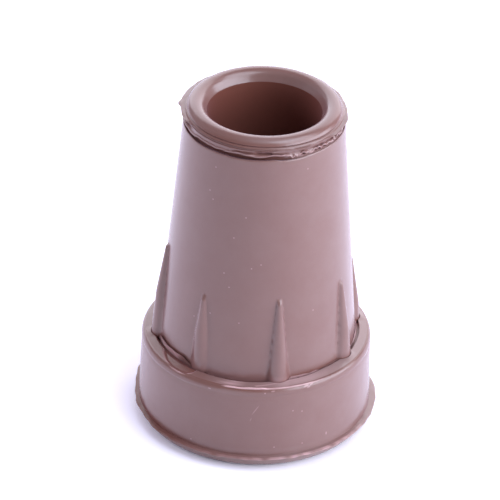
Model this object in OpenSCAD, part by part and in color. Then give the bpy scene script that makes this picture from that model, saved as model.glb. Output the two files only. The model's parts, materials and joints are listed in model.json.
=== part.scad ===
// Rubber cane tip: one moulded piece. A blind socket takes the end of the shaft,
// a flared barrel with spike ribs stands in a wider foot, and the sole has ring grooves.
// Millimetres, +Z up, the sole on z = 0 and the socket axis on the Z axis.
// The front rib faces -Y.

/* [Overall] */
// Height from the sole to the top of the rolled rim
tip_h = 59.5; // [50:0.5:80]

/* [Socket] */
// Diameter of the bore that takes the shaft
bore_d = 19; // [14:0.5:24]
// Depth of the bore, from its sharp edge to its flat floor
bore_depth = 42; // [25:1:42]

/* [Rolled rim] */
// Thickness of the rolled rim round the mouth
rim_d = 3.06; // [2.4:0.02:3.4]
// How far the rolled rim's section keeps clear of the bore
rim_land = 0.34; // [0.2:0.02:0.8]
// How far the bore edge lies below the middle of the rolled rim
rim_drop = 0.25; // [0.1:0.05:0.6]
// Where the flank of the mouth leaves the rolled rim, in degrees round its section from outside
rim_flank = 150; // [120:1:160]

/* [Collar] */
// Height of the collar, from the barrel to the middle of the rolled rim
collar_h = 1.7; // [1.5:0.1:4]
// How far the collar neck stands inside the barrel top
neck_in = 0.55; // [0.3:0.05:0.9]
// Radius of the second bead, under the rolled rim
bead_r = 0.7; // [0.4:0.05:0.8]
// How far the second bead stands out from the neck
bead_out = 0.22; // [0.1:0.02:0.5]
// How far the middle of the second bead lies below the middle of the rolled rim
bead_drop = 0.11; // [0:0.01:0.4]
// How far the folded lip stands out from the neck
lip_out = 0.42; // [0.2:0.02:0.9]
// Thickness of the folded lip at its edge
lip_t = 0.3; // [0.2:0.05:0.5]
// Gap under the folded lip
lip_gap = 0.35; // [0.2:0.05:0.5]
// How far the upper mould seam stands out from the neck
seam_out = 0.75; // [0.4:0.05:1.2]
// Thickness of the upper mould seam at its edge
seam_t = 0.2; // [0.15:0.05:0.4]

/* [Barrel] */
// Wall of the barrel at its top, from the bore outwards
barrel_wall = 3.88; // [3.5:0.02:6]
// How much wider the barrel is at its bottom than at its top, on each side
barrel_flare = 3.3; // [1:0.1:6]

/* [Ribs] */
// Number of spike ribs round the barrel
rib_n = 8; // [4:1:10]
// Height of a rib above the foot, up to its blunt tip
rib_h = 14.9; // [12:0.1:24]
// Height of the slim upper part of a rib
spike_h = 9; // [5:0.5:10]
// Radius of a rib at the foot
rib_r = 2.2; // [1.6:0.02:3]
// Radius of a rib where its slim part starts
rib_mid_r = 1.3; // [0.9:0.02:1.5]
// Radius of the blunt tip of a rib
rib_tip_r = 0.45; // [0.2:0.05:0.7]
// How far a rib stands out from the barrel at the foot
rib_out = 1.3; // [0.9:0.02:1.6]
// How far a rib stands out from the barrel where its slim part starts
rib_mid_out = 1.2; // [0.7:0.02:1.4]
// How far the blunt tip of a rib stands out from the barrel
rib_tip_out = 0.5; // [0.2:0.02:0.8]

/* [Foot] */
// Height of the foot, from the sole to its ledge
foot_h = 15.6; // [13:0.1:20]
// How far the foot stands out from the bottom of the barrel, on each side
foot_out = 2.98; // [2.6:0.02:6]
// How much narrower the foot wall is at its top than at its bottom, on each side
foot_taper = 0.38; // [0:0.02:0.8]
// Radius of the rounded shoulder
shoulder_r = 1.36; // [0.8:0.02:1.6]
// How far the rounded shoulder swells beyond the wall and the ledge
shoulder_swell = 0.06; // [0.04:0.01:0.12]
// Where the edge of the flat ledge cuts the rounded shoulder, in degrees round its section
ledge_turn = 43; // [30:1:60]
// Width of the groove between the barrel and the ledge
moat_w = 0.6; // [0.4:0.05:1]
// Depth of the groove between the barrel and the ledge
moat_deep = 0.8; // [0.6:0.1:2]
// Gap between the barrel and the thin flash that stands in the groove
flash_gap = 0.12; // [0.1:0.02:0.3]
// Thickness of the flash in the groove
flash_t = 0.16; // [0.1:0.02:0.2]
// How far the flash in the groove ends below the ledge
flash_drop = 0.05; // [0.05:0.05:0.4]

/* [Lower seam] */
// Height of the lower mould seam above the sole
base_seam_z = 2.25; // [1.5:0.05:4]
// How far the lower mould seam stands out from the foot wall
base_seam_out = 0.95; // [0.4:0.05:1.5]
// Thickness of the lower mould seam at its edge
base_seam_t = 0.25; // [0.2:0.05:0.5]

/* [Sole] */
// Width of the plain outer ring of the sole
sole_ring_w = 2.6; // [2:0.1:4]
// Number of ring grooves in the sole
tread_n = 3; // [0:1:4]
// Width of a ring groove
tread_w = 1.8; // [1:0.1:2.4]
// Depth of a ring groove
tread_deep = 1.6; // [0.5:0.1:2.4]
// Distance from one ring groove to the next
tread_pitch = 4.4; // [3.2:0.1:5]
// Rounding of the edge of the sole
sole_round_r = 1.5; // [0.5:0.1:1.8]

/* [Hidden] */
$fn = 96;
// overlap of pieces that are joined
bite = 0.4;
// how far each rib is turned from its even place, in degrees, starting at the front rib
// and going round towards +X
rib_turns = [0, 2.8, 0.5, 0, 0, 0, -4.5, -3.5];
// how much higher each rib tip is than the plain rib height, in the same order
rib_rises = [0, -0.6, -2.6, 0, 0, 0, 2.2, -1.2];

bore_r = bore_d / 2;
rim_r = rim_d / 2;
rim_z = tip_h - rim_r;
rim_mid_r = bore_r + rim_land + rim_r;
bore_edge_z = rim_z - rim_drop;
bore_floor_z = bore_edge_z - bore_depth;
barrel_top_r = bore_r + barrel_wall;
barrel_bottom_r = barrel_top_r + barrel_flare;
barrel_top_z = rim_z - collar_h;
neck_r = barrel_top_r - neck_in;
foot_r = barrel_bottom_r + foot_out;
foot_top_r = foot_r - foot_taper;
moat_r = barrel_bottom_r + moat_w;
moat_floor_z = foot_h - moat_deep;

// radius of the barrel at a height
function barrel_r(z) =
    barrel_top_r + barrel_flare * (barrel_top_z - z) / (barrel_top_z - foot_h);
// radius of the foot wall at a height
function wall_r(z) = foot_r - foot_taper * z / foot_h;

// thin fin round a wall: root radius, height of its middle, reach, edge thickness
module fin(root_r, mid_z, reach, edge_t) {
    polygon([
        [root_r - bite, mid_z - edge_t],
        [root_r, mid_z - edge_t],
        [root_r + reach, mid_z - edge_t / 2],
        [root_r + reach, mid_z + edge_t / 2],
        [root_r, mid_z + edge_t],
        [root_r - bite, mid_z + edge_t]
    ]);
}

// half section of the foot, with its wall, its shoulder and the ledge that slopes up inwards
module foot_section() {
    swollen_r = shoulder_r + shoulder_swell;
    shoulder = [foot_top_r - shoulder_r, foot_h - shoulder_r];
    edge = shoulder + swollen_r * [cos(ledge_turn), sin(ledge_turn)];
    inner = [moat_r, foot_h];
    beyond = 2 * edge - inner;
    above = 2 * inner - edge;
    difference() {
        union() {
            polygon([
                [0, 0],
                [foot_r - sole_round_r, 0],
                [wall_r(sole_round_r), sole_round_r],
                [foot_top_r, foot_h - shoulder_r],
                [foot_top_r - shoulder_r, foot_h],
                [0, foot_h]
            ]);
            translate([wall_r(sole_round_r) - sole_round_r, sole_round_r])
                circle(r = sole_round_r);
            translate(shoulder) circle(r = swollen_r);
        }
        polygon([beyond, above, [above[0], above[1] + shoulder_r], [beyond[0], above[1] + shoulder_r]]);
    }
    fin(wall_r(base_seam_z), base_seam_z, base_seam_out, base_seam_t);
}

// half section of the groove between the barrel and the ledge, around its thin flash
module moat_section() {
    difference() {
        translate([barrel_bottom_r - bite, moat_floor_z])
            square([moat_w + bite, moat_deep + bite]);
        translate([barrel_bottom_r + flash_gap, moat_floor_z - bite])
            square([flash_t, moat_deep + bite - flash_drop]);
    }
}

// half section of the barrel and of the neck above it
module barrel_section() {
    polygon([
        [0, moat_floor_z - bite],
        [barrel_bottom_r, moat_floor_z - bite],
        [barrel_bottom_r, foot_h],
        [barrel_top_r, barrel_top_z],
        [neck_r, barrel_top_z + bite / 4],
        [neck_r, rim_z],
        [rim_mid_r, rim_z],
        [rim_mid_r, bore_edge_z - bite],
        [0, bore_edge_z - bite]
    ]);
}

// half section of the rolled rim, with a straight flank on its inner side down to the bore edge
module rim_section() {
    edge = [bore_r, bore_edge_z];
    flank = [rim_mid_r + rim_r * cos(rim_flank), rim_z + rim_r * sin(rim_flank)];
    below = 2 * edge - flank;
    above = 2 * flank - edge;
    difference() {
        union() {
            translate([rim_mid_r, rim_z]) circle(r = rim_r);
            translate([bore_r - bite, bore_edge_z - 2 * bite])
                square([rim_mid_r - bore_r + bite, rim_drop + rim_r / 2 + 2 * bite]);
        }
        polygon([below, above, [0, above[1]], [0, below[1]]]);
    }
}

// half section of the collar: folded lip, and the second bead with the upper seam on it
module collar_section() {
    lip_z = barrel_top_z + lip_gap + lip_t;
    bead_z = rim_z - bead_drop;
    fin(neck_r, lip_z, lip_out, lip_t);
    translate([neck_r + bead_out - bead_r, bead_z]) circle(r = bead_r);
    fin(neck_r, bead_z, seam_out, seam_t);
}

// half section of the ring grooves in the sole
module tread_section() {
    for (k = [0 : 1 : tread_n - 1]) {
        outer_r = foot_r - sole_ring_w - k * tread_pitch;
        if (outer_r - tread_w > 1)
            translate([outer_r - tread_w, -bite]) square([tread_w, tread_deep + bite]);
    }
}

// half section of the whole turned shape
module turned_section() {
    difference() {
        union() {
            difference() {
                foot_section();
                moat_section();
            }
            barrel_section();
            collar_section();
            rim_section();
        }
        tread_section();
    }
}

// cone that leans from one place to another: each is a distance from the axis and a height
module leaning_cone(from, to, r1, r2) {
    lean = atan2(to[0] - from[0], to[1] - from[1]);
    translate([from[0], 0, from[1]])
        rotate([0, lean, 0])
            cylinder(h = norm(to - from), r1 = r1, r2 = r2);
}

// spike rib: it rises out of the foot, narrows, and ends in a slim part with a blunt tip
module rib(rise) {
    end_z = foot_h + rib_h + rise;
    mid_z = end_z - spike_h;
    cap_z = end_z - rib_tip_r;
    root = [barrel_bottom_r + rib_out - rib_r, moat_floor_z - bite];
    middle = [barrel_r(mid_z) + rib_mid_out - rib_mid_r, mid_z];
    cap = [barrel_r(cap_z) + rib_tip_out - rib_tip_r, cap_z];
    leaning_cone(root, middle, rib_r, rib_mid_r);
    leaning_cone(middle, cap, rib_mid_r, rib_tip_r);
    leaning_cone(cap, cap + [0, rib_tip_r], rib_tip_r, rib_tip_r / 2);
}

module rubber_tip() {
    color("#8f6f73")
    difference() {
        union() {
            rotate_extrude() turned_section();
            for (i = [0 : rib_n - 1]) {
                k = i % len(rib_turns);
                rotate([0, 0, i * 360 / rib_n + rib_turns[k] - 90]) rib(rib_rises[k]);
            }
        }
        translate([0, 0, bore_floor_z])
            cylinder(h = tip_h - bore_floor_z, r = bore_r);
    }
}

rubber_tip();
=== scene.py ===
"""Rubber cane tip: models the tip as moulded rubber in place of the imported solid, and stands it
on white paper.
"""

import json
import logging
import math
from collections.abc import Sequence
from dataclasses import dataclass, field
from enum import Enum

import bpy
import numpy as np
from mathutils import Matrix, Vector


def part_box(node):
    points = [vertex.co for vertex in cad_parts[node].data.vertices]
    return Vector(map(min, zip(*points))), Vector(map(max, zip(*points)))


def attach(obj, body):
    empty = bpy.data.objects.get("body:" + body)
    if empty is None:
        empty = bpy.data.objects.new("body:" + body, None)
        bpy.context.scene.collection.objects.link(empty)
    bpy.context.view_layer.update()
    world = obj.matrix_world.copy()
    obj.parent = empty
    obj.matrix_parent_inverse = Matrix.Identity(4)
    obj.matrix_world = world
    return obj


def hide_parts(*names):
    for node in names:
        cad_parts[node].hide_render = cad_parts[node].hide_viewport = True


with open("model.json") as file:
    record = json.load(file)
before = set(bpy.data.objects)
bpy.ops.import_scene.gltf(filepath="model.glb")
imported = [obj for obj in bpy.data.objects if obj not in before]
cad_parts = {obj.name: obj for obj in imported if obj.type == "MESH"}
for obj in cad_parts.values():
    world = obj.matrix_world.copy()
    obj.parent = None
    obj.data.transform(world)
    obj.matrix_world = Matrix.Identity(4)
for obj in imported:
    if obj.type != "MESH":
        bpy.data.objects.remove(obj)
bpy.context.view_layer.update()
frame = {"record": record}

LOG = logging.getLogger("cane_tip")
MM = 0.001
TIP_NODE = "rubber_tip"
ROOT_BODY = "root"
# how many points are placed at once, and how close together points become one
BATCH = 20000
MERGE_MM = 0.002

# rows of a place and the value there, and rows of how far out, how far up, and a share
Knots = tuple[tuple[float, float], ...]
Line = tuple[tuple[float, float, float], ...]


class Zone(Enum):
    """The stretches of the half section, named so that each can be worked on by itself."""

    SOLE = "sole"
    WALL = "foot wall"
    LOWER_SEAM = "lower seam"
    SHOULDER = "shoulder"
    BURR = "burr on the trimmed edge"
    LEDGE = "ledge"
    GROOVE = "groove"
    GROOVE_FLASH = "flash in the groove"
    BARREL = "barrel"
    FOLDED_LIP = "folded lip"
    NECK = "neck"
    BEAD = "second bead"
    UPPER_SEAM = "upper seam"
    RIM = "rolled rim"
    BORE = "bore"


class Layer(Enum):
    """What the skin's own attributes hold: pale bloom, which also carries painted light and shade,
    wear, which also carries painted highlights, and the shine that is left.
    """

    BLOOM = "bloom"
    WORN = "worn"
    SHINE = "shine"


def linear_rgba(hex_colour: str) -> tuple[float, float, float, float]:
    """Turn an sRGB hex colour into the linear colour that shaders take.

    Args:
        hex_colour: Colour as "#rrggbb".

    Returns:
        Linear red, green and blue, and an alpha of 1.
    """
    channels = [int(hex_colour[i : i + 2], 16) / 255 for i in (1, 3, 5)]
    # the curve of the sRGB standard
    linear = [c / 12.92 if c <= 0.04045 else ((c + 0.055) / 1.055) ** 2.4 for c in channels]
    return (linear[0], linear[1], linear[2], 1.0)


def add_node(
    tree: bpy.types.NodeTree,
    kind: str,
    inputs: dict[str | int, object] | None = None,
    **settings: object,
) -> bpy.types.Node:
    """Add one shader node with its settings and its links.

    Args:
        tree: Node tree that takes the node.
        kind: Blender's name of the node type, without "ShaderNode".
        inputs: Input name or number, and its value or the output socket to link to it.
        **settings: Properties to set on the node.

    Returns:
        The new node.
    """
    node = tree.nodes.new("ShaderNode" + kind)
    for name, value in settings.items():
        setattr(node, name, value)
    for name, value in (inputs or {}).items():
        if isinstance(value, bpy.types.NodeSocket):
            tree.links.new(value, node.inputs[name])
        else:
            node.inputs[name].default_value = value
    return node


def seen_directly(tree: bpy.types.NodeTree) -> bpy.types.NodeSocket:
    """Add the share that is 1 for what the camera sees, itself or in a reflection or through glass.

    Args:
        tree: Node tree that takes the nodes.

    Returns:
        The share.
    """
    path = add_node(tree, "LightPath")
    seen = path.outputs["Is Camera Ray"]
    for name in ("Is Glossy Ray", "Is Transmission Ray"):
        both = add_node(tree, "Math", {0: seen, 1: path.outputs[name]}, operation="MAXIMUM")
        seen = both.outputs[0]
    return seen


def bearing_vector(bearing: float, height: float = 0.0) -> Vector:
    """Unit direction at a bearing, in degrees from the front (-Y) towards +X.

    Args:
        bearing: Degrees round the axis from the front.
        height: Degrees above the horizon.

    Returns:
        The direction, pointing away from the axis.
    """
    turn, rise = math.radians(bearing), math.radians(height)
    flat = math.cos(rise)
    return Vector((math.sin(turn) * flat, -math.cos(turn) * flat, math.sin(rise)))


def angle_from(bearings: np.ndarray, centre: float) -> np.ndarray:
    """Signed angle of each bearing from a centre, in degrees from -180 to 180."""
    return (bearings - centre + 180.0) % 360.0 - 180.0


def bump(offset: np.ndarray, half_width: float) -> np.ndarray:
    """Smooth bump that is 1 at 0 and fades to 0 at half_width on either side."""
    inside = np.clip(1.0 - np.abs(offset) / half_width, 0.0, 1.0)
    return inside * inside * (3.0 - 2.0 * inside)


def unit(values: np.ndarray) -> np.ndarray:
    """The values, held between 0 and 1."""
    return np.clip(values, 0.0, 1.0)


def follow(knots: Knots, places: np.ndarray) -> np.ndarray:
    """Value at each place, along straight lines from knot to knot."""
    return np.interp(places, *zip(*knots))


def ragged(bearings: np.ndarray, seed: int, waves: Sequence[int]) -> np.ndarray:
    """Repeatable ragged signal round the axis, with a standard deviation near 1.

    Args:
        bearings: Bearings in degrees.
        seed: Seed of the random phases.
        waves: How many waves run round the whole turn, one number for each wave.

    Returns:
        The signal at each bearing.
    """
    rng = np.random.default_rng(seed)
    turns = np.radians(bearings)
    total = np.zeros_like(turns)
    for wave in waves:
        total += np.cos(wave * turns + rng.uniform(0.0, 2.0 * math.pi))
    return total * math.sqrt(2.0 / len(waves))


@dataclass(frozen=True)
class Stretch:
    """A stretch of a thin edge that stands out more or less, or is pushed up or down.

    The bearing and width are in degrees, the rest in millimetres.
    """

    bearing: float
    half_width: float
    out: float
    up: float = 0.0
    blunt: float = 1.0

    def weight(self, bearings: np.ndarray) -> np.ndarray:
        """Share of the stretch's effect at each bearing: a bump, flat-topped when blunt."""
        return unit(bump(angle_from(bearings, self.bearing), self.half_width) * self.blunt)

    def push(self, bearings: np.ndarray) -> np.ndarray:
        """How far the stretch stands out at each bearing."""
        return self.out * self.weight(bearings)

    def lift(self, bearings: np.ndarray) -> np.ndarray:
        """How far the stretch is pushed up at each bearing."""
        return self.up * self.weight(bearings)


def stretches(*rows: tuple[float, ...]) -> tuple[Stretch, ...]:
    """Stretches from rows of bearing, half width, out, up and blunt, the last two if needed."""
    return tuple(Stretch(*row) for row in rows)


@dataclass(frozen=True)
class RaggedEdge:
    """How a thin edge strays from its plain shape, in millimetres."""

    seed: int
    swing: float
    lift: float
    waves: tuple[int, ...] = (5, 11, 19, 31, 47)
    least: float = 0.02
    stretches: tuple[Stretch, ...] = ()

    def reach(self, bearings: np.ndarray, plain: float) -> np.ndarray:
        """How far the edge stands out at each bearing.

        Args:
            bearings: Bearings in degrees.
            plain: Its plain reach.

        Returns:
            The reach.
        """
        reach = plain + self.swing * ragged(bearings, self.seed, self.waves)
        for stretch in self.stretches:
            reach = reach + stretch.push(bearings)
        return np.maximum(reach, self.least)

    def rise(self, bearings: np.ndarray) -> np.ndarray:
        """How far the edge is pushed up at each bearing.

        Args:
            bearings: Bearings in degrees.

        Returns:
            The rise.
        """
        rise = self.lift * ragged(bearings, self.seed + 1, self.waves)
        for stretch in self.stretches:
            rise = rise + stretch.lift(bearings)
        return rise


@dataclass
class HalfSection:
    """Half section of a turned shape, drawn point by point like a pen line, in millimetres."""

    zone: Zone = Zone.SOLE
    points: list[tuple[float, float]] = field(default_factory=list)
    zones: list[Zone] = field(default_factory=list)
    shares: list[float] = field(default_factory=list)

    def add(self, radius: float, height: float, share: float = 0.0) -> None:
        """Put down one point.

        Args:
            radius: Distance of the point from the axis.
            height: Height of the point.
            share: How far out the point is on a thin edge, from 0 at its root to 1.
        """
        self.points.append((radius, height))
        self.zones.append(self.zone)
        self.shares.append(share)

    def to(self, radius: float, height: float, steps: int = 1) -> None:
        """Draw a straight line to a point.

        Args:
            radius: Distance of the point from the axis.
            height: Height of the point.
            steps: Number of equal pieces in the line.
        """
        last_r, last_z = self.points[-1] if self.points else (radius, height)
        for step in range(1, steps):
            share = step / steps
            self.add(last_r + (radius - last_r) * share, last_z + (height - last_z) * share)
        self.add(radius, height)

    def arc(
        self,
        centre: tuple[float, float],
        radius: float,
        start: float,
        end: float,
        steps: int,
        skip: int = 0,
    ) -> None:
        """Draw an arc, from a start angle to an end angle.

        Args:
            centre: Radius and height of the arc's centre.
            radius: Radius of the arc.
            start: First angle, in degrees from pointing away from the axis, turning upwards.
            end: Last angle.
            steps: Number of equal pieces in the arc.
            skip: Number of points to leave out, 1 where the last line ends on the arc.
        """
        for step in range(skip, steps + 1):
            angle = math.radians(start + (end - start) * step / steps)
            self.add(centre[0] + radius * math.cos(angle), centre[1] + radius * math.sin(angle))

    def trace(self, zone: Zone, origin: tuple[float, float], line: Line) -> None:
        """Start a zone with points that are given from an origin.

        Args:
            zone: Name of the zone.
            origin: Radius and height of the origin.
            line: How far out and up from the origin each point is, and its share.
        """
        self.zone = zone
        for out, up, share in line:
            self.add(origin[0] + out, origin[1] + up, share)

    def fin(self, zone: Zone, root: float, middle: float, reach: float, thickness: float) -> None:
        """Draw a thin fin outwards and back, going upwards, with a rounded edge.

        Args:
            zone: Its name.
            root: Radius of the wall that the fin stands on.
            middle: Height of the fin's middle.
            reach: How far the fin stands out.
            thickness: Thickness of the fin at its edge. It is twice that at its root.
        """
        before, self.zone = self.zone, zone
        half = thickness / 2
        shares = (0.0, 0.25, 0.5, 0.75, 1.0)
        for share in shares:
            self.add(root + (reach - half) * share, middle - thickness + half * share, share)
        self.add(root + reach, middle - half / 2, 1.0)
        self.add(root + reach, middle + half / 2, 1.0)
        for share in reversed(shares):
            self.add(root + (reach - half) * share, middle + thickness - half * share, share)
        self.zone = before


@dataclass(frozen=True)
class PaleMark:
    """A small pale speck or scratch on the rubber.

    The bearing and the lean are in degrees, the rest in millimetres.
    """

    bearing: float
    height: float
    wide: float = 0.3
    tall: float = 0.3
    lean: float = 0.0
    pale: float = 0.3


@dataclass(frozen=True)
class Rib:
    """How one rib strays from its place, and how stout its root is.

    The turn is in degrees, the rest in millimetres.
    """

    turn: float = 0.0
    rise: float = 0.0
    root_r: float = 2.2
    root_out: float = 1.3
    mid_out: float = 1.2
    spike_h: float = 9.0
    melt: float = 0.25


@dataclass
class Skin:
    """All points of the turned skin as arrays, in degrees round the axis and in millimetres."""

    bearings: np.ndarray
    radii: np.ndarray
    heights: np.ndarray
    zones: np.ndarray
    shares: np.ndarray

    def at(self, *names: Zone) -> np.ndarray:
        """Mask of the points in some zones."""
        return np.isin(self.zones, [name.value for name in names])


@dataclass(frozen=True)
class Scuff:
    """A scuffed patch on the ledge: its bearing and radius, their spreads, and how pale it is.

    The bearing and the turn are in degrees, the radius and the spread in millimetres.
    """

    bearing: float
    turn: float
    radius: float
    spread: float
    pale: float

    def share(self, skin: Skin) -> np.ndarray:
        """How far the patch has worn each point."""
        across = bump(skin.radii - self.radius, self.spread)
        return self.pale * across * bump(angle_from(skin.bearings, self.bearing), self.turn)


@dataclass(frozen=True)
class MouldedRubber:
    """Natural rubber, compression moulded: warm brown, satin, and veiled by pale bloom outside.

    The pattern sizes are in millimetres.
    """

    # the polished steel mould leaves a satin skin that mirrors windows softly, iron oxide gives
    # the warm brown, and the wax that comes out to the surface lies on it as a thin pale bloom
    brown: str = "#734439"
    # the pale bloom colour, which the bloom layer also lays on as painted light and shade
    veil: str = "#f6efee"
    veil_share: float = 0.058
    veil_swing: float = 0.009
    # the pale colour of rubbed rubber, which the worn layer also lays on as painted highlights
    bare: str = "#dfb3b3"
    roughness: float = 0.24
    # between that of natural rubber, 1.52, and that of wax, 1.44
    ior: float = 1.5
    gloss: float = 0.7
    # the bloom's own grains are far too fine to show, so a faint sheen stands for them
    sheen: float = 0.1
    sheen_roughness: float = 0.45
    sheen_tint: str = "#cccdff"
    mottle_mm: float = 7.0
    mottle_detail: float = 5.0
    mottle_roughness: float = 0.6
    mottle_span: tuple[float, float] = (0.3, 0.7)
    # the mould's grain is about 0.05 mm wide, and is drawn coarser so that it shows at all
    grain_mm: float = 0.3
    grain_detail: float = 2.0
    grain_depth_mm: float = 0.008
    mark_deep_mm: float = 0.8

    def speckle(
        self,
        tree: bpy.types.NodeTree,
        place: bpy.types.NodeSocket,
        worn: bpy.types.NodeSocket,
        marks: Sequence[tuple[Vector, PaleMark]],
    ) -> bpy.types.NodeSocket:
        """Add the pale specks and scratches to the worn places.

        Args:
            tree: The material's nodes.
            place: Object coordinates.
            worn: How far the skin is worn.
            marks: Middle of each mark, in millimetres, and the mark.

        Returns:
            How far the skin is worn, with the marks.
        """
        # a mark is palest over its middle half, and fades to its edge
        for middle, mark in marks:
            local = add_node(tree, "Mapping", {
                "Vector": place,
                "Location": middle * MM,
                "Rotation": (0.0, math.radians(mark.lean), math.radians(mark.bearing)),
                "Scale": (mark.wide * MM / 2, self.mark_deep_mm * MM, mark.tall * MM / 2),
            }, vector_type="TEXTURE")
            away = add_node(tree, "VectorMath", {0: local.outputs["Vector"]}, operation="LENGTH")
            spot = add_node(tree, "MapRange", {
                "Value": away.outputs["Value"],
                "From Min": 1.0,
                "From Max": 0.5,
                "To Min": 0.0,
                "To Max": mark.pale,
            })
            most = add_node(tree, "Math", {0: worn, 1: spot.outputs["Result"]}, operation="MAXIMUM")
            worn = most.outputs[0]
        return worn

    def build(self, marks: Sequence[tuple[Vector, PaleMark]]) -> bpy.types.Material:
        """Make the material.

        Args:
            marks: Middle of each pale mark, in millimetres, and the mark.

        Returns:
            The finished material.
        """
        material = bpy.data.materials.new("moulded_rubber")
        material.use_nodes = True
        tree = material.node_tree
        tree.nodes.clear()
        place = add_node(tree, "TexCoord").outputs["Object"]
        bloom, worn, shine = (
            add_node(tree, "Attribute", attribute_name=layer.value).outputs["Fac"]
            for layer in Layer
        )
        worn = self.speckle(tree, place, worn, marks)
        mottle = add_node(tree, "TexNoise", {
            "Vector": place,
            "Scale": 1.0 / (self.mottle_mm * MM),
            "Detail": self.mottle_detail,
            "Roughness": self.mottle_roughness,
        })
        veil = add_node(tree, "MapRange", {
            "Value": mottle.outputs["Fac"],
            "From Min": self.mottle_span[0],
            "From Max": self.mottle_span[1],
            "To Min": self.veil_share - self.veil_swing,
            "To Max": self.veil_share + self.veil_swing,
        })
        # the bloom layer also carries painted light and shade, as more or less pale veil
        veil = add_node(tree, "Math", {0: veil.outputs["Result"], 1: bloom}, operation="MULTIPLY")
        skin = add_node(tree, "Mix", {
            "Factor": veil.outputs[0],
            "A": linear_rgba(self.brown),
            "B": linear_rgba(self.veil),
        }, data_type="RGBA")
        # the worn layer also carries painted highlights, in the bare colour
        colour = add_node(tree, "Mix", {
            "Factor": worn,
            "A": skin.outputs["Result"],
            "B": linear_rgba(self.bare),
        }, data_type="RGBA")
        gloss = add_node(tree, "Math", {0: shine, 1: self.gloss}, operation="MULTIPLY")
        grain = add_node(tree, "TexNoise", {
            "Vector": place,
            "Scale": 1.0 / (self.grain_mm * MM),
            "Detail": self.grain_detail,
        })
        relief = add_node(tree, "Bump", {
            "Height": grain.outputs["Fac"],
            "Distance": self.grain_depth_mm * MM,
        })
        shader = add_node(tree, "BsdfPrincipled", {
            "Base Color": colour.outputs["Result"],
            "Roughness": self.roughness,
            "IOR": self.ior,
            "Specular IOR Level": gloss.outputs[0],
            "Sheen Weight": self.sheen,
            "Sheen Roughness": self.sheen_roughness,
            "Sheen Tint": linear_rgba(self.sheen_tint),
            "Normal": relief.outputs["Normal"],
        })
        add_node(tree, "OutputMaterial", {"Surface": shader.outputs["BSDF"]})
        return material


@dataclass(frozen=True)
class WhitePaper:
    """Uncoated paper of the floor, which the camera sees a little brighter than it is lit, with a
    painted shadow close round the tip.
    """

    # rolled and uncoated, it is matt all over, and shows nothing but the tip's soft shadow, cast by
    # the lamps and painted close round the tip
    colour: str = "#f4f4f6"
    glow: str = "#e2dcff"
    glow_strength: float = 0.74
    # painted shadow round the tip: how far it reaches, and how sharply it fades
    shadow_reach_mm: float = 12.0
    shadow_power: float = 1.4

    def build(self) -> bpy.types.Material:
        """Make the material.

        Returns:
            The finished material.
        """
        material = bpy.data.materials.new("white_paper")
        material.use_nodes = True
        tree = material.node_tree
        tree.nodes.clear()
        matt = add_node(tree, "BsdfDiffuse", {"Color": linear_rgba(self.colour)})
        # painted shadow: the glow fades near the tip, by ambient occlusion
        painted_shadow = add_node(tree, "AmbientOcclusion", {"Distance": self.shadow_reach_mm * MM})
        strength = painted_shadow.outputs["AO"]
        for value, operation in ((self.shadow_power, "POWER"), (self.glow_strength, "MULTIPLY")):
            step = add_node(tree, "Math", {0: strength, 1: value}, operation=operation)
            strength = step.outputs[0]
        glow = add_node(tree, "Emission", {"Color": linear_rgba(self.glow), "Strength": strength})
        both = add_node(tree, "AddShader", {0: matt.outputs[0], 1: glow.outputs[0]})
        ends = {0: seen_directly(tree), 1: matt.outputs[0], 2: both.outputs[0]}
        mix = add_node(tree, "MixShader", ends)
        add_node(tree, "OutputMaterial", {"Surface": mix.outputs[0]})
        return material


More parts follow.
